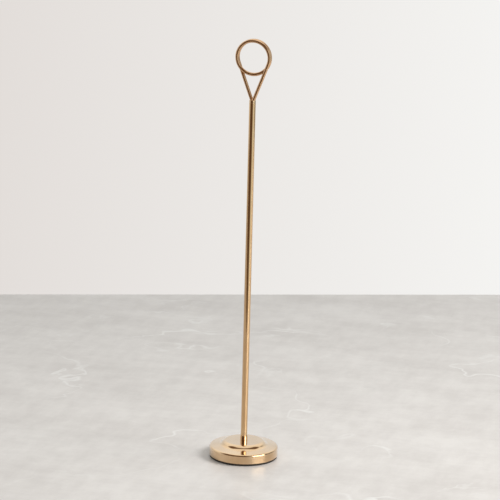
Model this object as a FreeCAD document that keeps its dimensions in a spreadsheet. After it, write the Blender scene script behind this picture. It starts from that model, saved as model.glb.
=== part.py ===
import FreeCAD, Part
import os
import re
import Sketcher

# Table number holder: a weighted round foot, a slim upright tube, and a sprung ring clip on top.
# Frame: the origin is the centre of the pad's underside, +Z is up the stem,
# and the ring of the clip faces -Y. All sizes are in millimetres and degrees.

SIZES = {
    # foot: pad, spun shell and ballast
    "pad_thickness": 2.0,
    "pad_margin": 0.6,
    "base_radius": 33.0,
    "shell_thickness": 0.8,
    "wall_height": 8.9,
    "ring_rise": 1.4,
    "step_rise": 3.7,
    "step_foot_radius": 22.3,
    "step_top_radius": 19.5,
    "shoulder_round": 2.0,
    "step_round": 5.0,
    "step_hollow": 4.0,
    "ballast_gap": 0.3,
    "ballast_chamfer": 2.5,
    "ballast_headroom": 1.0,
    "boss_radius": 14.5,
    "counterbore_radius": 6.5,
    "counterbore_depth": 6.0,
    # fastening from beneath
    "screw_radius": 2.0,
    "screw_length": 18.0,
    "screw_head_radius": 4.0,
    "screw_head_height": 2.4,
    "screw_head_round": 1.0,
    "drive_slot_width": 1.0,
    "drive_slot_length": 4.4,
    "drive_slot_depth": 1.3,
    "screw_hole_gap": 0.25,
    "thread_gap": 0.02,
    "flat_washer_radius": 5.0,
    "flat_washer_thickness": 0.8,
    "lock_washer_radius": 3.6,
    "lock_washer_thickness": 1.0,
    "lock_washer_arc": 348.0,
    # upright
    "foot_head_radius": 3.5,
    "foot_head_height": 4.0,
    "foot_shank_height": 10.0,
    "tapped_depth": 11.0,
    "tube_radius": 3.175,
    "tube_wall": 0.5,
    "tube_length": 325.0,
    "plug_gap": 0.02,
    "tip_head_height": 3.0,
    "tip_shank_height": 8.0,
    "tip_round": 0.3,
    # ring clip
    "wire_radius": 1.6,
    "turn_gap": 0.4,
    "ring_radius": 15.8,
    "leg_tilt": 21.5,
    "leg_gap": 0.1,
    "leg_turn": 45.0,
    "rear_foot_gap": 0.0,
    "front_foot_gap": 0.12,
    "split_gap": 0.1,
}

# Heights and shared clip measures, as expressions of the sizes above.
SHELL_FLOOR = "pad_thickness"
SHOULDER_TOP = "(pad_thickness + wall_height)"
STEP_FOOT = "(pad_thickness + wall_height + ring_rise)"
BASE_TOP = "(pad_thickness + wall_height + ring_rise + step_rise)"
BOSS_TOP = f"({BASE_TOP} - shell_thickness)"
BALLAST_RADIUS = "(base_radius - shell_thickness - ballast_gap)"
BALLAST_TOP = f"({SHOULDER_TOP} - shell_thickness - ballast_headroom)"
COUNTERBORE_TOP = "(pad_thickness + counterbore_depth)"
SCREW_HOLE = "(screw_radius + screw_hole_gap)"
HEAD_SEAT = f"({COUNTERBORE_TOP} - flat_washer_thickness - lock_washer_thickness)"
TUBE_BORE = "(tube_radius - tube_wall)"
TUBE_FOOT = f"({BASE_TOP} + foot_head_height)"
TUBE_TOP = f"({TUBE_FOOT} + tube_length)"
TIP_TOP = f"({TUBE_TOP} + tip_head_height)"
TILT = "(leg_tilt * 1deg)"
LEG_SPREAD = f"((wire_radius / cos({TILT}) + leg_gap / 2) * cos(leg_turn * 1deg))"
LEG_OFFSET = f"((wire_radius / cos({TILT}) + leg_gap / 2) * sin(leg_turn * 1deg))"
LEG_RUN = f"((ring_radius * cos({TILT}) - {LEG_SPREAD}) / sin({TILT}))"
RING_Z = f"({TIP_TOP} + {LEG_RUN} * cos({TILT}) + ring_radius * sin({TILT}))"
COIL_PITCH = "(2 * wire_radius + turn_gap)"
HALF_WRAP = "((270 + leg_tilt) / 360)"
LEG_CLOSING = f"({COIL_PITCH} * {HALF_WRAP} - {LEG_OFFSET})"
CUT_SIDE = "(8 * wire_radius)"

doc = FreeCAD.newDocument("TableNumberHolder")
sheet = doc.addObject("Spreadsheet::Sheet", "Sizes")
for row, (alias, value) in enumerate(SIZES.items(), start=1):
    sheet.set(f"A{row}", alias.replace("_", " "))
    sheet.set(f"B{row}", str(value))
    sheet.setAlias(f"B{row}", alias)
doc.recompute()


def linked(text):
    """Turn the size names in an expression into references to the sheet."""
    return re.sub(r"[a-z_]+", lambda word: f"Sizes.{word[0]}" if word[0] in SIZES else word[0], text)


def bind(item, prop, text):
    item.setExpression(prop, linked(text))


def new_body(label):
    body = doc.addObject("PartDesign::Body", label)
    body.Label = label
    return body


def plane(body, role):
    return next(item for item in body.Origin.OriginFeatures if item.Role == role)


def new_sketch(body, role):
    sketch = body.newObject("Sketcher::SketchObject", "Sketch")
    sketch.AttachmentSupport = (plane(body, role), [""])
    sketch.MapMode = "FlatFace"
    return sketch


def outline(sketch, corners):
    """Close a polygon whose corners are (across, up) pairs of expressions, each held by its own dimension."""
    count = len(corners)
    for index in range(count):
        here = FreeCAD.Vector(index, index * index + 1, 0)
        there = FreeCAD.Vector(index + 1, (index + 1) ** 2 + 1, 0)
        sketch.addGeometry(Part.LineSegment(here, there), False)
    for index in range(count):
        sketch.addConstraint(Sketcher.Constraint("Coincident", index, 2, (index + 1) % count, 1))
    for index, pair in enumerate(corners):
        for kind, axis, text in (("DistanceX", -2, pair[0]), ("DistanceY", -1, pair[1])):
            if text == "0":
                sketch.addConstraint(Sketcher.Constraint("PointOnObject", index, 1, axis))
                continue
            number = sketch.addConstraint(Sketcher.Constraint(kind, -1, 1, index, 1, 1.0))
            bind(sketch, f"Constraints[{number}]", text)
    return sketch


def circle(sketch, radius, drop="0"):
    """Add a circle with its radius, and its centre's drop below the sketch's origin, held by the sheet."""
    ring = sketch.addGeometry(Part.Circle(FreeCAD.Vector(0, -1, 0), FreeCAD.Vector(0, 0, 1), 1.0), False)
    number = sketch.addConstraint(Sketcher.Constraint("Radius", ring, 1.0))
    bind(sketch, f"Constraints[{number}]", radius)
    sketch.addConstraint(Sketcher.Constraint("PointOnObject", ring, 3, -2))
    if drop == "0":
        sketch.addConstraint(Sketcher.Constraint("PointOnObject", ring, 3, -1))
        return sketch
    number = sketch.addConstraint(Sketcher.Constraint("DistanceY", ring, 3, -1, 1, 1.0))
    bind(sketch, f"Constraints[{number}]", drop)
    return sketch


def turned(body, corners, sweep="360"):
    """Revolve an (radius, height) outline about the upright axis."""
    sketch = outline(new_sketch(body, "XZ_Plane"), corners)
    feature = body.newObject("PartDesign::Revolution", "Turned")
    feature.Profile = sketch
    feature.ReferenceAxis = (sketch, ["V_Axis"])
    bind(feature, "Angle", sweep)
    return feature


def raised(body, sketch, length, start="0"):
    """Pad a sketch upwards from a given height."""
    bind(sketch, "AttachmentOffset.Base.z", start)
    feature = body.newObject("PartDesign::Pad", "Raised")
    feature.Profile = sketch
    bind(feature, "Length", length)
    return feature


def value(text):
    """Work out an expression of the sheet's sizes as a number."""
    return float(sheet.evalExpression(linked(text).replace("Sizes.", "")))


def edge_at(feature, radius, height):
    """Name the round edge with this radius at this height."""
    for number, edge in enumerate(feature.Shape.Edges, start=1):
        if not isinstance(edge.Curve, Part.Circle):
            continue
        if abs(edge.Curve.Radius - value(radius)) < 0.01 and abs(edge.Curve.Center.z - value(height)) < 0.01:
            return f"Edge{number}"
    raise RuntimeError(f"{feature.Label}: no round edge at radius {radius}, height {height}")


def rounded(body, feature, radius, *places):
    """Fillet the round edges at the given (radius, height) places."""
    doc.recompute()
    fillet = body.newObject("PartDesign::Fillet", "Rounded")
    fillet.Base = (feature, [edge_at(feature, *place) for place in places])
    bind(fillet, "Radius", radius)
    return fillet


def base_pad():
    body = new_body("base_pad")
    sketch = circle(new_sketch(body, "XY_Plane"), "base_radius - pad_margin")
    raised(body, sketch, "pad_thickness")
    return body


def base_shell():
    """Spun cover: a straight wall, a gently coned ring and a raised disc with a well-rounded step."""
    body = new_body("base_shell")
    solid = turned(body, [
        ("0", SHELL_FLOOR), ("base_radius", SHELL_FLOOR), ("base_radius", SHOULDER_TOP),
        ("step_foot_radius", STEP_FOOT), ("step_top_radius", BASE_TOP), ("0", BASE_TOP)])
    shoulder = rounded(body, solid, "shoulder_round", ("base_radius", SHOULDER_TOP))
    crown = rounded(body, shoulder, "step_round", ("step_top_radius", BASE_TOP))
    hollow = rounded(body, crown, "step_hollow", ("step_foot_radius", STEP_FOOT))
    doc.recompute()
    floor_face = min(range(len(hollow.Shape.Faces)), key=lambda index: hollow.Shape.Faces[index].CenterOfMass.z)
    skin = body.newObject("PartDesign::Thickness", "Skin")
    skin.Base = (hollow, [f"Face{floor_face + 1}"])
    skin.Reversed = True
    skin.Join = "Intersection"
    bind(skin, "Value", "shell_thickness")
    doc.recompute()
    hole = body.newObject("PartDesign::Pocket", "ScrewHole")
    hole.Profile = circle(new_sketch(body, "XY_Plane"), SCREW_HOLE)
    hole.Type = "ThroughAll"
    hole.Reversed = True
    return body


def base_weight():
    """Cast ballast: a disc with a raised boss under the shell's crown and a counterbore for the screw's head."""
    body = new_body("base_weight")
    turned(body, [
        (SCREW_HOLE, COUNTERBORE_TOP), ("counterbore_radius", COUNTERBORE_TOP),
        ("counterbore_radius", SHELL_FLOOR), (BALLAST_RADIUS, SHELL_FLOOR),
        (BALLAST_RADIUS, f"{BALLAST_TOP} - ballast_chamfer"),
        (f"{BALLAST_RADIUS} - ballast_chamfer", BALLAST_TOP), ("boss_radius", BALLAST_TOP),
        ("boss_radius", BOSS_TOP), (SCREW_HOLE, BOSS_TOP)])
    return body


def washer(label, outer, inner, thickness, start, sweep):
    body = new_body(label)
    top = f"({start} + {thickness})"
    turned(body, [(inner, start), (outer, start), (outer, top), (inner, top)], sweep)
    return body


def foot_screw():
    """Pan-head machine screw, head down, with a cross recess in its head."""
    body = new_body("foot_screw")
    head_floor = f"({HEAD_SEAT} - screw_head_height)"
    solid = turned(body, [
        ("0", head_floor), ("screw_head_radius", head_floor), ("screw_head_radius", HEAD_SEAT),
        ("screw_radius", HEAD_SEAT), ("screw_radius", f"{HEAD_SEAT} + screw_length"),
        ("0", f"{HEAD_SEAT} + screw_length")])
    rounded(body, solid, "screw_head_round", ("screw_head_radius", head_floor))
    doc.recompute()
    slot = body.newObject("PartDesign::SubtractiveBox", "DriveSlot")
    bind(slot, "Length", "drive_slot_length")
    bind(slot, "Width", "drive_slot_width")
    bind(slot, "Height", "drive_slot_depth")
    bind(slot, "Placement.Base.x", "-drive_slot_length / 2")
    bind(slot, "Placement.Base.y", "-drive_slot_width / 2")
    bind(slot, "Placement.Base.z", head_floor)
    doc.recompute()
    cross = body.newObject("PartDesign::PolarPattern", "DriveCross")
    cross.Originals = [slot]
    cross.Axis = (plane(body, "Z_Axis"), [""])
    cross.Angle = 180
    cross.Occurrences = 2
    body.Tip = cross
    return body


def foot_plug():
    """Turned plug pressed into the tube's lower end; its head is the collar that stands on the shell."""
    body = new_body("foot_plug")
    shank = f"({TUBE_BORE} - plug_gap)"
    shank_top = f"({TUBE_FOOT} + foot_shank_height)"
    bore = "(screw_radius + thread_gap)"
    bore_top = f"({BASE_TOP} + tapped_depth)"
    turned(body, [
        (bore, BASE_TOP), ("foot_head_radius", BASE_TOP), ("foot_head_radius", TUBE_FOOT),
        (shank, TUBE_FOOT), (shank, shank_top), ("0", shank_top), ("0", bore_top), (bore, bore_top)])
    return body


def stem_tube():
    body = new_body("stem_tube")
    sketch = circle(circle(new_sketch(body, "XY_Plane"), "tube_radius"), TUBE_BORE)
    raised(body, sketch, "tube_length", TUBE_FOOT)
    return body


def stem_tip():
    """Turned plug pressed into the tube's mouth; the clip's legs are brazed to its flat top."""
    body = new_body("stem_tip")
    shank = f"({TUBE_BORE} - plug_gap)"
    shank_floor = f"({TUBE_TOP} - tip_shank_height)"
    solid = turned(body, [
        ("0", shank_floor), (shank, shank_floor), (shank, TUBE_TOP), ("tube_radius", TUBE_TOP),
        ("tube_radius", TIP_TOP), ("0", TIP_TOP)])
    rounded(body, solid, "tip_round", ("tube_radius", TIP_TOP))
    return body


def trim_box(body, label, x_size, x_low, z_low):
    """Cut away a box that spans the wire crosswise; the other two sides are CUT_SIDE wire radii long."""
    box = body.newObject("PartDesign::SubtractiveBox", label)
    bind(box, "Length", x_size)
    bind(box, "Width", CUT_SIDE)
    bind(box, "Height", CUT_SIDE)
    bind(box, "Placement.Base.x", x_low)
    bind(box, "Placement.Base.y", f"-{CUT_SIDE} / 2")
    bind(box, "Placement.Base.z", z_low)
    doc.recompute()


def clip_half(label, half_turn, foot_gap):
    """One half of the ring wire, drawn about the ring's centre: a left-handed helical turn from the ring's
    lowest point, then a straight leg padded from the turn's end, which closes in on the stem and is cut off
    level on the tip. The two halves are the same piece, half a turn apart about the stem."""
    body = new_body(label)
    body.Placement = FreeCAD.Placement(FreeCAD.Vector(0, 0, 0), FreeCAD.Rotation(half_turn, 0, 0))
    bind(body, "Placement.Base.z", RING_Z)
    section = circle(new_sketch(body, "YZ_Plane"), "wire_radius", "ring_radius")
    doc.recompute()
    turn = body.newObject("PartDesign::AdditiveHelix", "Turn")
    turn.Profile = section
    turn.ReferenceAxis = (plane(body, "Y_Axis"), [""])
    turn.Mode = "pitch-turns-angle"
    turn.LeftHanded = True
    bind(turn, "Pitch", COIL_PITCH)
    bind(turn, "Turns", HALF_WRAP)
    doc.recompute()
    flat_ends = [(face.CenterOfMass.x, number) for number, face in enumerate(turn.Shape.Faces, start=1)
                 if isinstance(face.Surface, Part.Plane)]
    leg = body.newObject("PartDesign::Pad", "Leg")
    leg.Profile = (turn, [f"Face{min(flat_ends)[1]}"])
    leg.AlongSketchNormal = False
    leg.UseCustomVector = True
    bind(leg, "Direction.x", f"sin({TILT})")
    bind(leg, "Direction.y", f"-{LEG_CLOSING} / {LEG_RUN}")
    bind(leg, "Direction.z", f"-cos({TILT})")
    bind(leg, "Length", f"sqrt({LEG_RUN}^2 + {LEG_CLOSING}^2) + wire_radius")
    doc.recompute()
    trim_box(body, "FootTrim", CUT_SIDE, f"-{CUT_SIDE} / 2",
             f"{TIP_TOP} - {RING_Z} + {foot_gap} - {CUT_SIDE}")
    trim_box(body, "SplitTrim", "split_gap", "-split_gap / 2", f"-ring_radius - {CUT_SIDE} / 2")
    return body


bodies = [
    base_pad(),
    base_shell(),
    base_weight(),
    washer("flat_washer", "flat_washer_radius", SCREW_HOLE, "flat_washer_thickness",
           f"({COUNTERBORE_TOP} - flat_washer_thickness)", "360"),
    washer("lock_washer", "lock_washer_radius", SCREW_HOLE, "lock_washer_thickness",
           HEAD_SEAT, "lock_washer_arc"),
    foot_screw(),
    foot_plug(),
    stem_tube(),
    stem_tip(),
    clip_half("clip_wire_rear", 0, "rear_foot_gap"),
    clip_half("clip_wire_front", 180, "front_foot_gap"),
]
doc.recompute()

for item in doc.Objects:
    if {"Invalid", "Error"} & set(item.State):
        raise RuntimeError(f"{item.Name} did not compute: {item.State}")
for body in bodies:
    if body.Shape.isNull() or not body.Shape.isValid() or len(body.Shape.Solids) != 1:
        raise RuntimeError(f"{body.Label} is not one valid solid")

os.makedirs("parts", exist_ok=True)
for body in bodies:
    body.Shape.exportStep(f"parts/{body.Label}.step")
    box = body.Shape.BoundBox
    print(f"{body.Label:16s} {body.Shape.Volume:10.1f} mm3  "
          f"x {box.XMin:7.2f} {box.XMax:7.2f}  y {box.YMin:7.2f} {box.YMax:7.2f}  z {box.ZMin:7.2f} {box.ZMax:7.2f}")
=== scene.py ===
import math

import bpy
import numpy as np
from mathutils import Matrix, Vector


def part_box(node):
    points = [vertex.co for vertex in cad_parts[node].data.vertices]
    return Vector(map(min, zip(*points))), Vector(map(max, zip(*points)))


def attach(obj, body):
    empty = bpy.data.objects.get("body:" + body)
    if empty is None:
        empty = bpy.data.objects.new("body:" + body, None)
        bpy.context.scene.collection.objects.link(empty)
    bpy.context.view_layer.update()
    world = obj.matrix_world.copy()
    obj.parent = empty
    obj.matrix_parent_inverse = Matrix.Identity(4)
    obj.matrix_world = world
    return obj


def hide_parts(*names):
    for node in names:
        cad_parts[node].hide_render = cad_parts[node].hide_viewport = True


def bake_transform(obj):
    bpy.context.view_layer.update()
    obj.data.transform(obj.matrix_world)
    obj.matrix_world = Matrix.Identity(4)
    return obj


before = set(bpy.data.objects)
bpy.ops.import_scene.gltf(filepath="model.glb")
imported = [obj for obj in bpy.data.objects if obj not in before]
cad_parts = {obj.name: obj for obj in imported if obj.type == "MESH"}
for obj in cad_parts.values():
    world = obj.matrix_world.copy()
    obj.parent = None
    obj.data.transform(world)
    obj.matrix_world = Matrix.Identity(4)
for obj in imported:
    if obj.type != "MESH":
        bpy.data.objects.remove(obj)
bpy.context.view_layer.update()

# Table number holder: a weighted round foot, a slim upright tube and a sprung ring clip of gold wire.
# Lengths are in metres and angles in radians. Z runs up the stem, and the ring of the clip faces -Y.

bl_info = {
    "name": "Table Number Holder",
    "version": (1, 0, 0),
    "blender": (4, 5, 0),
    "location": "3D View > Sidebar > Holder",
    "description": "Builds the pieces, finishes and studio of a table number holder round its CAD frame",
    "category": "Add Mesh",
}

MM = 0.001
PAD_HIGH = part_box("base_pad")[1]
SHELL_LOW, SHELL_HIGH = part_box("base_shell")
PLUG_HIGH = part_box("foot_plug")[1]
TUBE_LOW, TUBE_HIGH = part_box("stem_tube")
TIP_LOW, TIP_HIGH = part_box("stem_tip")

# An edge that turns by more than this stays crisp.
SHARP_ANGLE = math.radians(35)

# How often a grain repeats along X, Y and Z, per metre: rings about the axis, and hair lines along Z.
RING_GRAIN = (18.0, 18.0, 2600.0)
HAIR_GRAIN = (2400.0, 2400.0, 14.0)
COAT_ROUGHNESS = 0.08
RUST_TINT = (0.9, 0.55, 0.35)
BLOOM_GREY = 0.7

# What the metal mirrors, by bearing in degrees: 0 is towards the camera and positive is to its right.
PALE_WALL = (0.84, 0.86, 0.86)
DIM_ROOM = (0.14, 0.088, 0.052)
BRIGHT_SIDE = (0.92, 1.0, 1.0)
GREY_PIER = (0.28, 0.29, 0.29)
ROOM_STOPS = ((-180, PALE_WALL), (-84, PALE_WALL), (-62, DIM_ROOM), (10, DIM_ROOM), (30, BRIGHT_SIDE),
              (70, BRIGHT_SIDE), (82, GREY_PIER), (112, GREY_PIER), (130, PALE_WALL))
EVEN_STRENGTH = 0.64

# The lights: bearing as above, height above the table in degrees, distance and two sides in metres.
WINDOW = {"bearing": 54.0, "height": 24.0, "away": 2.4, "sides": (1.8, 1.2)}
KEY = {"bearing": 82.0, "height": 44.0, "away": 2.2, "sides": (0.9, 0.9)}
DAYLIGHT = (1.0, 0.99, 0.975)
UNLIT_BY_WINDOW = ("clip_rear_run", "clip_front_run", "clip_bottom_bridge")

# The camera's sensor width in millimetres, and the nearest and farthest it sees in metres.
SENSOR_WIDTH = 36.0
NEAR_CLIP, FAR_CLIP = 0.1, 50.0


def length(name, description, default):
    """A size that a user may change, in metres."""
    return bpy.props.FloatProperty(name=name, description=description, default=default, min=0.0,
                                   precision=5, unit="LENGTH", subtype="DISTANCE")


def angle(name, description, degrees):
    """An angle that a user may change."""
    return bpy.props.FloatProperty(name=name, description=description, default=math.radians(degrees),
                                   unit="ROTATION", subtype="ANGLE")


def share(name, description, default):
    """A plain number from 0 upwards, such as a roughness."""
    return bpy.props.FloatProperty(name=name, description=description, default=default, min=0.0)


def colour(name, description, default):
    """A colour that a user may change."""
    return bpy.props.FloatVectorProperty(name=name, description=description, default=default, size=3,
                                         min=0.0, max=1.0, subtype="COLOR")


class HolderSizes(bpy.types.PropertyGroup):
    """Sizes of the foot, the upright and the ring clip."""
    foot_radius: length("Foot radius", "Outer radius of the spun foot", SHELL_HIGH.x)
    foot_low: length("Foot underside", "Height of the foot's lower edge", SHELL_LOW.z)
    foot_top: length("Foot top", "Height of the raised disc of the foot", SHELL_HIGH.z)
    shoulder_height: length("Shoulder height", "Height of the foot's shoulder corner", 10.9 * MM)
    ring_height: length("Ring height", "Height of the sloping ring where the step rises from it", 12.3 * MM)
    step_foot: length("Step foot radius", "Radius at the bottom of the step", 22.3 * MM)
    step_top: length("Step top radius", "Radius at the top corner of the step", 19.5 * MM)
    shoulder_round: length("Shoulder round", "Rounding of the shoulder", 2.0 * MM)
    step_hollow: length("Step hollow", "Rounding in the corner below the step", 4.0 * MM)
    step_round: length("Step round", "Rounding of the step's top edge", 5.0 * MM)
    shell_thickness: length("Sheet thickness", "Thickness of the foot's spun sheet", 0.8 * MM)
    rim_round: length("Rim round", "Deburred edge of the foot's rim", 0.25 * MM)
    screw_hole: length("Screw hole", "Radius of the hole in the disc's centre", 2.25 * MM)
    pad_radius: length("Pad radius", "Radius of the foam pad", PAD_HIGH.x)
    pad_thickness: length("Pad thickness", "Thickness of the foam pad", PAD_HIGH.z)
    pad_round: length("Pad edge", "Rounding of the foam pad's edge", 0.35 * MM)
    collar_radius: length("Collar radius", "Radius of the collar at the stem's foot", PLUG_HIGH.x)
    plug_top: length("Plug top", "Height that the foot plug reaches inside the tube", PLUG_HIGH.z)
    tapped_radius: length("Tapped hole", "Radius of the plug's tapped hole", 2.02 * MM)
    tapped_depth: length("Tapped depth", "Depth of the plug's tapped hole", 11.0 * MM)
    tube_radius: length("Tube radius", "Outer radius of the upright tube", TUBE_HIGH.x)
    tube_wall: length("Tube wall", "Wall thickness of the upright tube", 0.5 * MM)
    tube_foot: length("Tube foot", "Height of the tube's lower end", TUBE_LOW.z)
    tube_top: length("Tube top", "Height of the tube's upper end", TUBE_HIGH.z)
    plug_gap: length("Plug gap", "Gap between a plug and the tube's bore", 0.02 * MM)
    seam_round: length("Seam round", "Broken edges where the tube meets its plugs", 0.12 * MM)
    tip_low: length("Tip shank", "Height of the tip's lower end, inside the tube", TIP_LOW.z)
    tip_top: length("Tip top", "Height of the tip's upper face", TIP_HIGH.z)
    tip_round: length("Tip round", "Rounding of the tip's upper edge", 0.3 * MM)
    wire_radius: length("Wire radius", "Radius of the clip's wire", 1.6 * MM)
    ring_radius: length("Ring radius", "Radius of the ring, to the middle of the wire", 15.8 * MM)
    turn_gap: length("Turn gap", "Gap between the ring's two turns at rest", 0.4 * MM)
    leg_gap: length("Leg gap", "Gap between the legs' feet", 0.1 * MM)
    leg_turn: angle("Leg turn", "How far the pair of legs is turned about the stem at its foot", 45.0)
    leg_tilt: angle("Leg tilt", "Slope of a leg from upright", 21.5)
    leg_bend: length("Leg bend", "Half the length over which the wire bends from turn to leg", 4.0 * MM)
    front_foot_gap: length("Front foot gap", "Gap under the front leg, filled by braze", 0.12 * MM)
    bridge_angle: angle("Bridge angle", "How far each way the springing bottom of the ring reaches", 30.0)
    braze_height: length("Braze height", "Height of the braze between the legs", 1.3 * MM)
    braze_radius: length("Braze radius", "Radius of the braze on the tip", 2.85 * MM)


class HolderFinish(bpy.types.PropertyGroup):
    """Colours and gloss of the finishes."""
    # The foot, collar and tip wear the same gold plate as the tube, given twice: their paler copy is a
    # painted highlight for the washed-out bright foot, and the tube's browner copy is painted shade.
    gold: colour("Gold", "Champagne gold plate of the foot, collar and tip", (0.72, 0.51, 0.305))
    gold_deep: colour("Deep gold", "Where that plate is a little thicker and browner", (0.66, 0.44, 0.24))
    painted_shade_tube_gold: colour("Tube gold", "Champagne gold plate of the tube", (0.70, 0.465, 0.245))
    painted_shade_tube_deep: colour("Deep tube gold", "Where the tube's plate is browner", (0.63, 0.39, 0.185))
    gold_roughness: share("Gold roughness", "Roughness of the polished plate", 0.10)
    wire_gold: colour("Wire gold", "Redder gold of the plated wire", (0.69, 0.44, 0.26))
    wire_deep: colour("Deep wire gold", "Where the wire's plate is browner", (0.60, 0.365, 0.195))
    wire_roughness: share("Wire roughness", "Roughness of the plated wire", 0.24)
    foam: colour("Foam", "Black foam sheet", (0.030, 0.025, 0.021))
    iron: colour("Iron", "Cast weight", (0.19, 0.185, 0.18))
    steel: colour("Steel", "Zinc plated fasteners", (0.60, 0.61, 0.63))


class HolderStudio(bpy.types.PropertyGroup):
    """Camera, table and light."""
    camera_distance: length("Camera distance", "Level distance from the stem to the camera", 2.2455)
    camera_height: length("Camera height", "Height of the camera above the table", 0.74416)
    camera_azimuth: angle("Camera azimuth", "Turn of the camera about the stem", 15.485)
    camera_yaw: angle("Camera yaw", "Turn of the view away from the stem", -0.0314)
    camera_pitch: angle("Camera pitch", "How far the camera looks down", 13.521)
    camera_roll: angle("Camera roll", "Roll of the camera, which shows the stem leaning", 1.486)
    lens: bpy.props.FloatProperty(name="Lens", description="Focal length", default=175.8, unit="CAMERA")
    table_back: length("Table back", "Distance from the stem to the table's far edge", 0.615)
    table_front: length("Table front", "Distance from the stem to the table's near edge", 0.45)
    table_side: length("Table side", "Half the width of the table", 1.6)
    table_thickness: length("Table thickness", "Thickness of the table top", 0.03)
    table_turn: angle("Table turn", "Turn of the table's far edge from square to the view", 5.7)
    wall: colour("Wall", "Pale wall behind the table", (0.84, 0.83, 0.79))
    wall_dim: colour("Wall, dim side", "The wall away from the light", (0.762, 0.722, 0.694))
    wall_lit: colour("Wall, lit side", "The wall towards the light", (0.925, 0.922, 0.905))
    stone: colour("Stone", "Pale stone of the table", (0.775, 0.745, 0.722))
    cloud: colour("Cloud", "Faint darker clouds in the stone", (0.665, 0.632, 0.610))
    vein: colour("Vein", "Thin pale veins in the stone", (0.86, 0.845, 0.83))
    # Painted shade on the stone: how much its colour is darkened at the table's far edge.
    painted_far_shade: share("Far shade", "How much darker the stone is at the table's far edge", 0.20)
    window_power: bpy.props.FloatProperty(name="Window power", description="Power of the mirrored window",
                                          default=34.0, min=0.0, unit="POWER")
    key_power: bpy.props.FloatProperty(name="Key power", description="Power of the broad key light",
                                       default=33.0, min=0.0, unit="POWER")


# ---------------------------------------------------------------- meshes

def skin(name, rings, along, first_pole=None, last_pole=None, loop=False):
    """A mesh over a grid of points, rings[i, j]: i runs along the piece and j round it, where it closes.
    Each cell of the grid is one four-sided face, and a pole closes an end with a fan of triangles.
    along[i, j] is a point of the straightened piece, kept as an attribute for patterns that follow it."""
    count, around = rings.shape[:2]
    points = [rings.reshape(-1, 3)]
    straight = [along.reshape(-1, 3)]
    row = np.arange(count if loop else count - 1)[:, None]
    column = np.arange(around)[None, :]
    here, there = row * around, (row + 1) % count * around
    beside = (column + 1) % around
    quads = np.stack([here + column, here + beside, there + beside, there + column], axis=-1).reshape(-1, 4)
    faces = quads.tolist()
    column, beside = column[0], beside[0]
    for pole, ring, turned in ((first_pole, 0, True), (last_pole, count - 1, False)):
        if pole is None:
            continue
        centre = np.full(around, sum(len(p) for p in points))
        start, end = (beside, column) if turned else (column, beside)
        faces += np.stack([centre, ring * around + start, ring * around + end], axis=-1).tolist()
        points.append(np.array([pole]))
        straight.append(along[ring].mean(axis=0)[None, :])
    mesh = bpy.data.meshes.new(name)
    mesh.from_pydata(np.concatenate(points).tolist(), [], faces)
    attribute = mesh.attributes.new("straightened", "FLOAT_VECTOR", "POINT")
    attribute.data.foreach_set("vector", np.concatenate(straight).astype(np.float32).ravel())
    mesh.update()
    mesh.shade_smooth()
    mesh.set_sharp_from_angle(angle=SHARP_ANGLE)
    obj = bpy.data.objects.new(name, mesh)
    bpy.context.scene.collection.objects.link(obj)
    return obj


def rounded(corners, arc_steps=16):
    """An outline through corners (radius, height, rounding). A rounding replaces its corner by the arc that
    touches both sides: it starts rounding / tan(half the corner) away, and its centre is on the bisector."""
    outline = []
    places = np.array([c[:2] for c in corners], float)
    for number, (place, rounding) in enumerate(zip(places, [c[2] for c in corners])):
        if rounding == 0.0:
            outline.append(place[None, :])
            continue
        back = places[number - 1] - place
        ahead = places[(number + 1) % len(places)] - place
        back, ahead = back / np.linalg.norm(back), ahead / np.linalg.norm(ahead)
        half = math.acos(float(np.clip(back @ ahead, -1.0, 1.0))) / 2
        bisector = (back + ahead) / np.linalg.norm(back + ahead)
        centre = place + bisector * rounding / math.sin(half)
        spoke_in = place + back * rounding / math.tan(half) - centre
        spoke_out = place + ahead * rounding / math.tan(half) - centre
        sweep = math.pi - 2 * half
        share_done = np.linspace(0.0, 1.0, arc_steps + 1)[:, None]
        arc = (np.sin((1 - share_done) * sweep) * spoke_in + np.sin(share_done * sweep) * spoke_out)
        outline.append(centre + arc / math.sin(sweep))
    return np.concatenate(outline)


def supported(outline, closed, margin=0.12 * MM, longest=2.5 * MM, most=24):
    """The outline with points added on its straight runs: one a margin from each end, which keeps the shading
    of a round off the flat beside it, and evenly spaced ones between. A run under four margins gets none."""
    ends = np.roll(outline, -1, axis=0) if closed else outline[1:]
    starts = outline if closed else outline[:-1]
    parts = []
    for start, end in zip(starts, ends):
        run = float(np.linalg.norm(end - start))
        if run < 4 * margin:
            parts.append(start[None, :])
            continue
        middle = np.linspace(margin, run - margin, max(2, min(most, int(run / longest) + 1)))
        places = np.concatenate([[0.0], middle])[:, None] / run
        parts.append(start + places * (end - start))
    if not closed:
        parts.append(outline[-1:])
    return np.concatenate(parts)


def lathe(name, corners, closed=False, around=192):
    """A turned piece: every outline point (r, z) is carried round Z, so point(u) = (r cos u, r sin u, z).
    An open outline starts and ends on the axis, where a pole closes it. The outline runs anticlockwise,
    up the outside and in over the top, so that faces point away from the metal."""
    outline = supported(rounded(corners), closed)
    poles = (None, None)
    if not closed:
        poles = ((0.0, 0.0, outline[0, 1]), (0.0, 0.0, outline[-1, 1]))
        outline = outline[1:-1]
    turn = np.linspace(0.0, 2 * np.pi, around, endpoint=False)[None, :]
    radius, height = outline[:, :1], outline[:, 1:]
    rings = np.stack([radius * np.cos(turn), radius * np.sin(turn), height + 0 * turn], axis=-1)
    return skin(name, rings, rings, *poles, loop=closed)


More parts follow.
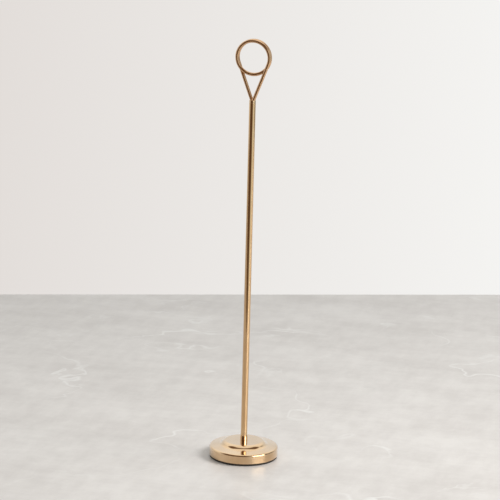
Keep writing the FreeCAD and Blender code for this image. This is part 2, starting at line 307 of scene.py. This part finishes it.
def inset(corners, depth):
    """The corners moved inwards by a sheet's thickness. Each moves against the sum of its two sides' outward
    normals, divided by one plus their dot product; a bulging round loses the thickness, a hollow gains it."""
    places = np.array([c[:2] for c in corners], float)
    sides = np.diff(places, axis=0)
    normals = np.stack([sides[:, 1], -sides[:, 0]], axis=1) / np.linalg.norm(sides, axis=1)[:, None]
    before = np.concatenate([normals[:1], normals])
    after = np.concatenate([normals, normals[-1:]])
    moved = places - depth * (before + after) / (1 + (before * after).sum(axis=1))[:, None]
    bulge = np.sign(before[:, 0] * after[:, 1] - before[:, 1] * after[:, 0])
    return [(r, z, max(0.0, c[2] - b * depth) if c[2] else 0.0)
            for (r, z), b, c in zip(moved, bulge, corners)]


# ---------------------------------------------------------------- the ring clip's wire

def clip_shape(sizes):
    """Measures of the clip worked out from its sizes: the ring's height, the lengths of a turn and a leg, and
    how fast each of them moves across the ring."""
    spread = (sizes.wire_radius / math.cos(sizes.leg_tilt) + sizes.leg_gap / 2) * math.cos(sizes.leg_turn)
    offset = (sizes.wire_radius / math.cos(sizes.leg_tilt) + sizes.leg_gap / 2) * math.sin(sizes.leg_turn)
    run = (sizes.ring_radius * math.cos(sizes.leg_tilt) - spread) / math.sin(sizes.leg_tilt)
    rise = run * math.cos(sizes.leg_tilt) + sizes.ring_radius * math.sin(sizes.leg_tilt)
    wrap = 1.5 * math.pi + sizes.leg_tilt
    pitch = 2 * sizes.wire_radius + sizes.turn_gap
    return {
        "ring_z": sizes.tip_top + rise,
        "turn_length": sizes.ring_radius * wrap,
        "leg_length": run,
        "turn_slope": pitch / (2 * math.pi * sizes.ring_radius),
        "leg_slope": -(pitch * wrap / (2 * math.pi) - offset) / run,
    }


def wire_centre(sizes, shape, distance):
    """The wire's centre line at a distance from the ring's lowest point. In the ring's plane it goes round
    the circle and leaves it along its tangent, down the leg. Across the ring it climbs at the coil's slope
    and, past the turn, falls back towards the stem, the two slopes joined by a parabola over the bend."""
    turned = np.minimum(distance, shape["turn_length"]) / sizes.ring_radius
    beyond = np.maximum(distance - shape["turn_length"], 0.0)
    x = sizes.ring_radius * np.sin(turned) + beyond * math.sin(sizes.leg_tilt)
    z = shape["ring_z"] - sizes.ring_radius * np.cos(turned) - beyond * math.cos(sizes.leg_tilt)
    past = distance - shape["turn_length"]
    bend = sizes.leg_bend
    ramp = np.where(past < -bend, 0.0, np.where(past > bend, past, (past + bend) ** 2 / (4 * bend)))
    y = shape["turn_slope"] * distance + (shape["leg_slope"] - shape["turn_slope"]) * ramp
    return np.stack([x, y, z], axis=-1)


def wire(name, sizes, start, end, foot=None, half_turn=False, step=0.4 * MM, around=40):
    """A circle carried along the wire's centre line: point = centre + radius (cos a N + sin a B), where B is
    the Y direction made square to the line and N is square to both. Where there is a foot height, the last
    circle is slid along the wire onto that level. A half turn about the stem makes the front run."""
    shape = clip_shape(sizes)
    distance = np.linspace(start, end, int(round((end - start) / step)) + 1)
    centre = wire_centre(sizes, shape, distance)
    nudge = 0.01 * MM
    ahead = wire_centre(sizes, shape, distance + nudge) - wire_centre(sizes, shape, distance - nudge)
    tangent = ahead / np.linalg.norm(ahead, axis=1)[:, None]
    side = np.array([0.0, 1.0, 0.0]) - tangent[:, 1:2] * tangent
    side = side / np.linalg.norm(side, axis=1)[:, None]
    normal = np.cross(side, tangent)
    a = np.linspace(0.0, 2 * np.pi, around, endpoint=False)[None, :, None]
    rings = centre[:, None] + sizes.wire_radius * (np.cos(a) * normal[:, None] + np.sin(a) * side[:, None])
    sign = -1.0 if half_turn else 1.0
    flat = sizes.wire_radius * np.stack([np.cos(a[..., 0]), sign * np.sin(a[..., 0])], axis=-1)
    along = np.concatenate([np.repeat(flat, len(distance), axis=0),
                            np.repeat(sign * distance[:, None, None], around, axis=1)], axis=-1)
    last = centre[-1]
    if foot is not None:
        lift = (foot - rings[-1, :, 2:]) / tangent[-1, 2]
        rings[-1] += lift * tangent[-1]
        last = rings[-1].mean(axis=0)
    first = centre[0]
    if half_turn:
        turn = np.array([-1.0, -1.0, 1.0])
        rings, first, last = rings * turn, first * turn, last * turn
    return skin(name, rings, along, first, last)


# ---------------------------------------------------------------- finishes

def node(tree, kind, **values):
    """Add a shader node. Names with an underscore first are its own settings, the others are its inputs, by
    name or as in0, in1 by number; a value that is a socket is linked."""
    made = tree.nodes.new(kind)
    for key, value in values.items():
        if key.startswith("_"):
            setattr(made, key[1:], value)
    for key, value in values.items():
        if key.startswith("_"):
            continue
        numbered = key.startswith("in") and key[2:].isdigit()
        socket = made.inputs[int(key[2:]) if numbered else key.replace("_", " ")]
        if isinstance(value, bpy.types.NodeSocket):
            tree.links.new(value, socket)
        else:
            socket.default_value = value
    return made


def material(name):
    """A new material with a principled shader: returns it, its tree and the shader."""
    made = bpy.data.materials.new(name)
    made.use_nodes = True
    tree = made.node_tree
    tree.nodes.clear()
    shader = tree.nodes.new("ShaderNodeBsdfPrincipled")
    output = tree.nodes.new("ShaderNodeOutputMaterial")
    tree.links.new(shader.outputs["BSDF"], output.inputs["Surface"])
    return made, tree, shader


def stretched(tree, place, scales):
    """The place multiplied by a scale on each axis, for a grain that runs one way."""
    return node(tree, "ShaderNodeVectorMath", _operation="MULTIPLY", in0=place, in1=scales).outputs["Vector"]


def noise(tree, place, scale, detail=2.0, roughness=0.5):
    """Cloudy noise with features of about 1 / scale metres."""
    return node(tree, "ShaderNodeTexNoise", Vector=place, Scale=scale, Detail=detail,
                Roughness=roughness).outputs["Fac"]


def ranged(tree, value, low, high, from_low=0.3, from_high=0.7):
    """A value between two limits, carried over to two other limits."""
    return node(tree, "ShaderNodeMapRange", Value=value, From_Min=from_low, From_Max=from_high,
                To_Min=low, To_Max=high).outputs["Result"]


def blended(tree, factor, first, second):
    """A mixture of two colours."""
    made = node(tree, "ShaderNodeMix", _data_type="RGBA", in0=factor, in6=(*first, 1.0), in7=(*second, 1.0))
    return made.outputs[2]


def bumped(tree, shader, *layers):
    """Bumps on the shader from pairs of a height and its depth in metres, one upon the other."""
    previous = None
    for height, depth in layers:
        made = node(tree, "ShaderNodeBump", Strength=1.0, Distance=depth, Height=height)
        if previous is not None:
            tree.links.new(previous.outputs["Normal"], made.inputs["Normal"])
        previous = made
    tree.links.new(previous.outputs["Normal"], shader.inputs["Normal"])


def gold(name, pale, deep, roughness, lacquer, grain):
    """Champagne gold plate on brass, with a share of clear lacquer. The grain is 'turned', fine rings about
    the axis as a lathe and a polishing wheel leave, 'drawn', hair lines along the tube, or 'wire', hair
    lines along the wire."""
    made, tree, shader = material(name)
    if grain == "wire":
        place = node(tree, "ShaderNodeAttribute", _attribute_name="straightened").outputs["Vector"]
    else:
        place = node(tree, "ShaderNodeTexCoord").outputs["Object"]
    if grain == "turned":
        level = stretched(tree, place, (1.0, 1.0, 0.0))
        radius = node(tree, "ShaderNodeVectorMath", _operation="LENGTH", in0=level).outputs["Value"]
        parts = node(tree, "ShaderNodeSeparateXYZ", Vector=place)
        outline = node(tree, "ShaderNodeMath", _operation="ADD", in0=radius, in1=parts.outputs["Z"])
        spun = node(tree, "ShaderNodeCombineXYZ", X=parts.outputs["X"], Y=parts.outputs["Y"],
                    Z=outline.outputs[0]).outputs["Vector"]
        grained = stretched(tree, spun, RING_GRAIN)
    else:
        grained = stretched(tree, place, HAIR_GRAIN)
    hair = noise(tree, grained, scale=1.0, detail=3.0, roughness=0.6)
    clouds = noise(tree, place, scale=55.0, detail=3.0)
    smudges = noise(tree, place, scale=210.0, detail=4.0, roughness=0.6)
    tree.links.new(blended(tree, ranged(tree, clouds, 0.0, 1.0), pale, deep), shader.inputs["Base Color"])
    mixed = node(tree, "ShaderNodeMath", _operation="MULTIPLY_ADD", in0=hair, in1=0.5, in2=smudges)
    tree.links.new(ranged(tree, mixed.outputs[0], roughness * 0.8, roughness * 1.3, from_low=0.5,
                          from_high=1.0), shader.inputs["Roughness"])
    bumped(tree, shader, (hair, 0.0015 * MM), (clouds, 0.03 * MM))
    shader.inputs["Metallic"].default_value = 1.0
    shader.inputs["Coat Weight"].default_value = lacquer
    shader.inputs["Coat Roughness"].default_value = COAT_ROUGHNESS
    return made


def foam(finish):
    """Black closed-cell foam: small round cells cut open by the knife, with dust in some of them."""
    made, tree, shader = material("foam_sheet")
    place = node(tree, "ShaderNodeTexCoord").outputs["Object"]
    cells = node(tree, "ShaderNodeTexVoronoi", Vector=place, Scale=2600.0).outputs["Distance"]
    dust = noise(tree, place, scale=480.0, detail=4.0, roughness=0.65)
    paler = 1.9
    dusty = tuple(min(1.0, c * paler) for c in finish.foam)
    tree.links.new(blended(tree, ranged(tree, dust, 0.0, 1.0), finish.foam, dusty),
                   shader.inputs["Base Color"])
    tree.links.new(ranged(tree, cells, 0.78, 0.97, from_low=0.0, from_high=0.8), shader.inputs["Roughness"])
    bumped(tree, shader, (cells, 0.12 * MM), (dust, 0.05 * MM))
    return made


def cast_iron(finish):
    """Cast iron weight: a sandy skin with rust starting in its low places."""
    made, tree, shader = material("cast_iron")
    place = node(tree, "ShaderNodeTexCoord").outputs["Object"]
    sand = noise(tree, place, scale=1500.0, detail=5.0, roughness=0.6)
    patches = noise(tree, place, scale=120.0, detail=4.0, roughness=0.55)
    rusty = tuple(c * tint for c, tint in zip(finish.iron, RUST_TINT))
    tree.links.new(blended(tree, ranged(tree, patches, 0.0, 0.7, from_low=0.5, from_high=0.75), finish.iron,
                           rusty), shader.inputs["Base Color"])
    tree.links.new(ranged(tree, sand, 0.5, 0.85), shader.inputs["Roughness"])
    bumped(tree, shader, (sand, 0.15 * MM), (patches, 0.2 * MM))
    shader.inputs["Metallic"].default_value = 0.8
    return made


def zinc_steel(finish):
    """Zinc plated steel: turned rings, with a faint milky bloom in patches."""
    made, tree, shader = material("zinc_steel")
    place = node(tree, "ShaderNodeTexCoord").outputs["Object"]
    rings = noise(tree, stretched(tree, place, (900.0, 900.0, 4200.0)), scale=1.0)
    bloom = noise(tree, place, scale=420.0, detail=4.0, roughness=0.6)
    milky = tuple(0.5 * (c + BLOOM_GREY) for c in finish.steel)
    tree.links.new(blended(tree, ranged(tree, bloom, 0.0, 0.6), finish.steel, milky),
                   shader.inputs["Base Color"])
    tree.links.new(ranged(tree, bloom, 0.22, 0.42), shader.inputs["Roughness"])
    bumped(tree, shader, (rings, 0.01 * MM), (bloom, 0.02 * MM))
    shader.inputs["Metallic"].default_value = 1.0
    return made


def stone(studio):
    """Honed pale stone: soft clouds with a finer mottling drawn out across them, thin pale veins where a
    warped noise crosses its middle value, and a painted shade that darkens it towards the far edge."""
    made, tree, shader = material("pale_stone")
    place = node(tree, "ShaderNodeTexCoord").outputs["Object"]
    clouds = noise(tree, stretched(tree, place, (1.0, 2.2, 1.0)), scale=7.0, detail=9.0, roughness=0.68)
    fine = noise(tree, stretched(tree, place, (1.0, 0.35, 1.0)), scale=60.0, detail=6.0, roughness=0.65)
    speckled = node(tree, "ShaderNodeMath", _operation="MULTIPLY_ADD", in0=fine, in1=0.6, in2=clouds)
    warp = node(tree, "ShaderNodeVectorMath", _operation="ADD", in0=place,
                in1=node(tree, "ShaderNodeTexNoise", Vector=place, Scale=3.0, Detail=4.0).outputs["Color"])
    field = noise(tree, warp.outputs["Vector"], scale=2.4, detail=5.0, roughness=0.55)
    middle = node(tree, "ShaderNodeMath", _operation="SUBTRACT", in0=field, in1=0.5)
    near = node(tree, "ShaderNodeMath", _operation="ABSOLUTE", in0=middle.outputs[0])
    patches = ranged(tree, noise(tree, place, scale=9.0, detail=3.0), 0.0, 1.0, from_low=0.45, from_high=0.6)
    veins = node(tree, "ShaderNodeMath", _operation="MULTIPLY", in0=patches,
                 in1=ranged(tree, near.outputs[0], 0.9, 0.0, from_low=0.0, from_high=0.01))
    # Painted shade: the stone's colour darkens towards the table's far edge, by the far shade there.
    away = (-math.sin(studio.camera_azimuth), math.cos(studio.camera_azimuth), 0.0)
    distance = node(tree, "ShaderNodeVectorMath", _operation="DOT_PRODUCT", in0=place, in1=away)
    shade = ranged(tree, distance.outputs["Value"], 1.0, 1.0 - studio.painted_far_shade, from_low=0.0,
                   from_high=studio.table_back)
    mottled = blended(tree, ranged(tree, speckled.outputs[0], 0.0, 1.0, from_low=0.64, from_high=0.96),
                      studio.stone, studio.cloud)
    veined = node(tree, "ShaderNodeMix", _data_type="RGBA", in0=veins.outputs[0], in6=mottled,
                  in7=(*studio.vein, 1.0)).outputs[2]
    shaded = node(tree, "ShaderNodeVectorMath", _operation="SCALE", in0=veined, Scale=shade)
    tree.links.new(shaded.outputs["Vector"], shader.inputs["Base Color"])
    tree.links.new(ranged(tree, clouds, 0.34, 0.42), shader.inputs["Roughness"])
    bumped(tree, shader, (noise(tree, place, scale=300.0, detail=5.0, roughness=0.6), 0.05 * MM))
    return made


def dress(obj, body, slot, finish, *nodes):
    """Give a piece its finish and body, and let it stand for CAD nodes. The record slot is not used."""
    obj.data.materials.clear()
    obj.data.materials.append(finish)
    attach(obj, body)
    if nodes:
        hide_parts(*nodes)


def finish_named(name, make):
    """The finish of that name, made the first time that it is asked for."""
    return bpy.data.materials.get(name) or make()


# The paler copy of the one gold plate, a painted highlight.
def turned_gold(finish):
    return finish_named("turned_gold", lambda: gold("turned_gold", finish.gold, finish.gold_deep,
                                                    finish.gold_roughness, 1.0, "turned"))


# The browner copy of the one gold plate, painted shade.
def drawn_gold(finish):
    return finish_named("drawn_gold", lambda: gold("drawn_gold", finish.painted_shade_tube_gold, finish.painted_shade_tube_deep,
                                                   finish.gold_roughness, 1.0, "drawn"))


def wire_gold(finish):
    return finish_named("wire_gold", lambda: gold("wire_gold", finish.wire_gold, finish.wire_deep,
                                                  finish.wire_roughness, 0.0, "wire"))


# ---------------------------------------------------------------- operators

class HOLDER_OT_foot_pad(bpy.types.Operator):
    """Make the foam pad under the foot"""
    bl_idname = "holder.foot_pad"
    bl_label = "Foam Pad"

    def execute(self, context):
        s, finish = context.scene.holder_sizes, context.scene.holder_finish
        pad = lathe("foam_pad", [(0.0, 0.0, 0.0), (s.pad_radius, 0.0, s.pad_round),
                                 (s.pad_radius, s.pad_thickness, s.pad_round), (0.0, s.pad_thickness, 0.0)])
        dress(pad, "root", "foam_pad", foam(finish), "base_pad")
        return {"FINISHED"}


class HOLDER_OT_foot_shell(bpy.types.Operator):
    """Make the foot: a spun sheet with a round shoulder, a sloping ring, a step and a flat disc"""
    bl_idname = "holder.foot_shell"
    bl_label = "Spun Foot"

    def execute(self, context):
        s, finish = context.scene.holder_sizes, context.scene.holder_finish
        outside = [
            (s.foot_radius, s.foot_low, 0.0),
            (s.foot_radius, s.shoulder_height, s.shoulder_round),
            (s.step_foot, s.ring_height, s.step_hollow),
            (s.step_top, s.foot_top, s.step_round),
            (s.screw_hole, s.foot_top, 0.0),
        ]
        inside = inset(outside, s.shell_thickness)[::-1]
        outside[0] = (s.foot_radius, s.foot_low, s.rim_round)
        shell = lathe("spun_foot", outside + inside, closed=True, around=288)
        dress(shell, "root", "gold_plate", turned_gold(finish), "base_shell")
        return {"FINISHED"}


class HOLDER_OT_stem(bpy.types.Operator):
    """Make the upright: the collar with its plug, the drawn tube and the tip"""
    bl_idname = "holder.stem"
    bl_label = "Stem"

    def execute(self, context):
        s, finish = context.scene.holder_sizes, context.scene.holder_finish
        bore = s.tube_radius - s.tube_wall
        shank = bore - s.plug_gap
        hole_end = s.foot_top + s.tapped_depth
        collar = lathe("stem_collar", [
            (0.0, hole_end, 0.0), (s.tapped_radius, hole_end, 0.0), (s.tapped_radius, s.foot_top, 0.0),
            (s.collar_radius, s.foot_top, s.seam_round), (s.collar_radius, s.tube_foot, s.seam_round),
            (shank, s.tube_foot, 0.0), (shank, s.plug_top, s.tip_round), (0.0, s.plug_top, 0.0)], around=96)
        dress(collar, "root", "gold_plate", turned_gold(finish), "foot_plug")
        tube = lathe("stem_tube_drawn", [
            (bore, s.tube_foot, 0.0), (s.tube_radius, s.tube_foot, s.seam_round),
            (s.tube_radius, s.tube_top, s.seam_round), (bore, s.tube_top, 0.0)], closed=True, around=96)
        dress(tube, "root", "gold_plate", drawn_gold(finish), "stem_tube")
        tip = lathe("stem_tip_turned", [
            (0.0, s.tip_low, 0.0), (shank, s.tip_low, s.tip_round), (shank, s.tube_top, 0.0),
            (s.tube_radius, s.tube_top, s.seam_round), (s.tube_radius, s.tip_top, s.tip_round),
            (0.0, s.tip_top, 0.0)], around=96)
        dress(tip, "root", "gold_plate", turned_gold(finish), "stem_tip")
        return {"FINISHED"}


class HOLDER_OT_clip(bpy.types.Operator):
    """Make the ring clip: a rear run, a front run, and the springing bottom of the ring that joins them"""
    bl_idname = "holder.clip"
    bl_label = "Ring Clip"

    def execute(self, context):
        s, finish = context.scene.holder_sizes, context.scene.holder_finish
        shape = clip_shape(s)
        split = s.ring_radius * s.bridge_angle
        end = shape["turn_length"] + shape["leg_length"]
        rear = wire("clip_rear_run", s, split, end, foot=s.tip_top)
        dress(rear, "root", "gold_wire", wire_gold(finish), "clip_wire_rear")
        front = wire("clip_front_run", s, split, end, foot=s.tip_top + s.front_foot_gap, half_turn=True)
        dress(front, "clip_front", "gold_wire", wire_gold(finish), "clip_wire_front")
        bridge = wire("clip_bottom_bridge", s, -split, split)
        bridge.data.materials.append(wire_gold(finish))
        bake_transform(bridge)
        return {"FINISHED"}


class HOLDER_OT_braze(bpy.types.Operator):
    """Make the braze that joins the clip's legs to the tip"""
    bl_idname = "holder.braze"
    bl_label = "Braze"

    def execute(self, context):
        s, finish = context.scene.holder_sizes, context.scene.holder_finish
        # a low mound whose height falls from the middle as half a cosine wave, down to a thin edge
        steps, around, edge = 24, 72, 0.05 * MM
        share_out = np.linspace(0.0, 1.0, steps)[1:-1]
        mound = s.tip_top + s.braze_height * (0.5 + 0.5 * np.cos(np.pi * share_out)) + edge
        turn = np.linspace(0.0, 2 * np.pi, around, endpoint=False)[None, :]
        out = (share_out * s.braze_radius)[::-1, None]
        rings = np.stack([out * np.cos(turn), out * np.sin(turn), mound[::-1, None] + 0 * turn], axis=-1)
        rim = rings[:1] * np.array([1.0, 1.0, 0.0]) + np.array([0.0, 0.0, s.tip_top])
        rings = np.concatenate([rim, rings])
        mound_piece = skin("leg_braze", rings, rings, (0.0, 0.0, s.tip_top),
                           (0.0, 0.0, s.tip_top + s.braze_height + edge))
        dress(mound_piece, "root", "gold_plate", turned_gold(finish))
        return {"FINISHED"}


class HOLDER_OT_hidden_parts(bpy.types.Operator):
    """Give the cast weight, the screw and its washers their finishes"""
    bl_idname = "holder.hidden_parts"
    bl_label = "Weight and Fasteners"

    def execute(self, context):
        finish = context.scene.holder_finish
        iron, steel = cast_iron(finish), zinc_steel(finish)
        for name, metal in (("base_weight", iron), ("foot_screw", steel),
                            ("flat_washer", steel), ("lock_washer", steel)):
            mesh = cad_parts[name].data
            mesh.materials.clear()
            mesh.materials.append(metal)
        return {"FINISHED"}


class HOLDER_OT_stage(bpy.types.Operator):
    """Make the stone table, the light and the camera"""
    bl_idname = "holder.stage"
    bl_label = "Studio"

    def execute(self, context):
        scene, studio = context.scene, context.scene.holder_studio
        scene.view_settings.view_transform = "Standard"
        self.table(studio)
        self.room(scene, studio)
        self.lights(scene, studio)
        self.camera(scene, studio)
        return {"FINISHED"}

    def table(self, studio):
        """A slab whose far edge is square to the view but for the table turn."""
        heading = studio.camera_azimuth + studio.table_turn
        across = np.array([math.cos(heading), math.sin(heading), 0.0])
        away = np.array([-math.sin(heading), math.cos(heading), 0.0])
        side = across * studio.table_side
        near, far = -away * studio.table_front, away * studio.table_back
        corners = np.array([near - side, near + side, far + side, far - side])
        below = corners - np.array([0.0, 0.0, studio.table_thickness])
        mesh = bpy.data.meshes.new("stone_table")
        walls = [(i, i + 4, (i + 1) % 4 + 4, (i + 1) % 4) for i in range(4)]
        mesh.from_pydata(np.concatenate([corners, below]).tolist(), [], [(0, 1, 2, 3), (7, 6, 5, 4)] + walls)
        mesh.materials.append(stone(studio))
        table = bpy.data.objects.new("stone_table", mesh)
        bpy.context.scene.collection.objects.link(table)

    def room(self, scene, studio):
        """Three backgrounds, by the kind of ray. A mirrored ray sees the room by bearing: pale walls behind
        and to the left, a dim room in front, a bright side to the right and a grey pier past it. High up it
        is dim in front and pale elsewhere. A camera ray sees the plain wall, and any other ray an even
        light."""
        world = bpy.data.worlds.new("studio_room")
        scene.world = world
        world.use_nodes = True
        tree = world.node_tree
        tree.nodes.clear()
        toward = (math.sin(studio.camera_azimuth), -math.cos(studio.camera_azimuth), 0.0)
        right = (math.cos(studio.camera_azimuth), math.sin(studio.camera_azimuth), 0.0)
        way = node(tree, "ShaderNodeTexCoord").outputs["Generated"]
        front = node(tree, "ShaderNodeVectorMath", _operation="DOT_PRODUCT", in0=way, in1=toward)
        beside = node(tree, "ShaderNodeVectorMath", _operation="DOT_PRODUCT", in0=way, in1=right)
        bearing = node(tree, "ShaderNodeMath", _operation="ARCTAN2", in0=beside.outputs["Value"],
                       in1=front.outputs["Value"])
        round_share = ranged(tree, bearing.outputs[0], 0.0, 1.0, -math.pi, math.pi)
        ramp = node(tree, "ShaderNodeValToRGB", Fac=round_share)
        band = ramp.color_ramp
        while len(band.elements) < len(ROOM_STOPS):
            band.elements.new(0.5)
        for element, (degrees, tone) in zip(band.elements, ROOM_STOPS):
            element.position = degrees / 360.0 + 0.5
            element.color = (*tone, 1.0)
        height = node(tree, "ShaderNodeSeparateXYZ", Vector=way).outputs["Z"]
        below_zenith = ranged(tree, height, 1.0, 0.0, from_low=0.84, from_high=0.94)
        in_front = ranged(tree, front.outputs["Value"], 0.0, 1.0, from_low=-0.2, from_high=-0.05)
        shaded = node(tree, "ShaderNodeMath", _operation="MULTIPLY", in0=below_zenith, in1=in_front)
        above = blended(tree, shaded.outputs[0], PALE_WALL, DIM_ROOM)
        upward = ranged(tree, height, 0.0, 1.0, from_low=0.45, from_high=0.6)
        surround = node(tree, "ShaderNodeMix", _data_type="RGBA", in0=upward, in6=ramp.outputs["Color"],
                        in7=above).outputs[2]
        brighter_above = ranged(tree, height, 1.0, 1.4, from_low=0.3, from_high=0.62)
        mirrored = node(tree, "ShaderNodeBackground", Color=surround, Strength=brighter_above)
        even = node(tree, "ShaderNodeBackground", Color=(*studio.wall, 1.0), Strength=EVEN_STRENGTH)
        rightward = ranged(tree, beside.outputs["Value"], 0.0, 1.0, from_low=-0.11, from_high=0.13)
        wall = blended(tree, rightward, studio.wall_dim, studio.wall_lit)
        seen = node(tree, "ShaderNodeBackground", Color=wall, Strength=1.0)
        path = node(tree, "ShaderNodeLightPath")
        light = node(tree, "ShaderNodeMixShader", Fac=path.outputs["Is Glossy Ray"], in1=even.outputs[0],
                     in2=mirrored.outputs[0])
        whole = node(tree, "ShaderNodeMixShader", Fac=path.outputs["Is Camera Ray"], in1=light.outputs[0],
                     in2=seen.outputs[0])
        node(tree, "ShaderNodeOutputWorld", Surface=whole.outputs[0])

    def lights(self, scene, studio):
        """A window to the right in front, which shows only in what the foot, stem and table mirror, and a
        broad key light, which isn't mirrored and casts the shadow. The clip's wire is kept out of the
        window."""
        window = self.light(scene, studio, "window_light", studio.window_power, **WINDOW)
        window.visible_diffuse = False
        shaded = bpy.data.collections.new("out_of_the_window")
        window.light_linking.receiver_collection = shaded
        for name in UNLIT_BY_WINDOW:
            shaded.objects.link(bpy.data.objects[name])
        for item in shaded.collection_objects:
            item.light_linking.link_state = "EXCLUDE"
        key = self.light(scene, studio, "key_light", studio.key_power, **KEY)
        key.visible_glossy = False

    def light(self, scene, studio, name, power, bearing, height, away, sides):
        """A rectangular light that faces the stem's foot, at a bearing from the camera's and a height, in
        degrees."""
        heading, height = studio.camera_azimuth + math.radians(bearing), math.radians(height)
        way = Vector((math.sin(heading) * math.cos(height), -math.cos(heading) * math.cos(height),
                      math.sin(height)))
        lamp = bpy.data.lights.new(name, "AREA")
        lamp.shape = "RECTANGLE"
        lamp.size, lamp.size_y = sides
        lamp.energy = power
        lamp.color = DAYLIGHT
        made = bpy.data.objects.new(name, lamp)
        made.location = way * away
        made.rotation_euler = way.to_track_quat("Z", "Y").to_euler()
        made.visible_camera = False
        scene.collection.objects.link(made)
        return made

    def camera(self, scene, studio):
        """The camera stands off at its azimuth, looks down by its pitch and is rolled about its view."""
        at, look = studio.camera_azimuth, studio.camera_azimuth + studio.camera_yaw
        place = Vector((studio.camera_distance * math.sin(at), -studio.camera_distance * math.cos(at),
                        studio.camera_height))
        ahead = Vector((-math.sin(look) * math.cos(studio.camera_pitch),
                        math.cos(look) * math.cos(studio.camera_pitch), -math.sin(studio.camera_pitch)))
        level = Vector((math.cos(look), math.sin(look), 0.0))
        upright = level.cross(ahead)
        cosine, sine = math.cos(studio.camera_roll), math.sin(studio.camera_roll)
        right, up = level * cosine + upright * sine, upright * cosine - level * sine
        lens = bpy.data.cameras.new("studio_camera")
        lens.sensor_width, lens.lens = SENSOR_WIDTH, studio.lens
        lens.clip_start, lens.clip_end = NEAR_CLIP, FAR_CLIP
        camera = bpy.data.objects.new("studio_camera", lens)
        camera.matrix_world = Matrix.Translation(place) @ Matrix((right, up, -ahead)).transposed().to_4x4()
        scene.collection.objects.link(camera)
        scene.camera = camera


PIECES = (HOLDER_OT_foot_pad, HOLDER_OT_foot_shell, HOLDER_OT_stem, HOLDER_OT_clip, HOLDER_OT_braze,
          HOLDER_OT_hidden_parts, HOLDER_OT_stage)


class HOLDER_PT_panel(bpy.types.Panel):
    """Buttons that build the holder's pieces and its studio"""
    bl_idname = "HOLDER_PT_panel"
    bl_label = "Table Number Holder"
    bl_space_type = "VIEW_3D"
    bl_region_type = "UI"
    bl_category = "Holder"

    def draw(self, context):
        for piece in PIECES:
            self.layout.operator(piece.bl_idname)


GROUPS = {"holder_sizes": HolderSizes, "holder_finish": HolderFinish, "holder_studio": HolderStudio}


def register():
    for cls in (*GROUPS.values(), *PIECES, HOLDER_PT_panel):
        bpy.utils.register_class(cls)
    for name, group in GROUPS.items():
        setattr(bpy.types.Scene, name, bpy.props.PointerProperty(type=group))


def unregister():
    for name in GROUPS:
        delattr(bpy.types.Scene, name)
    for cls in reversed((*GROUPS.values(), *PIECES, HOLDER_PT_panel)):
        bpy.utils.unregister_class(cls)


def main():
    register()
    for piece in PIECES:
        section, name = piece.bl_idname.split(".")
        getattr(getattr(bpy.ops, section), name)()


if __name__ == "__main__":
    main()
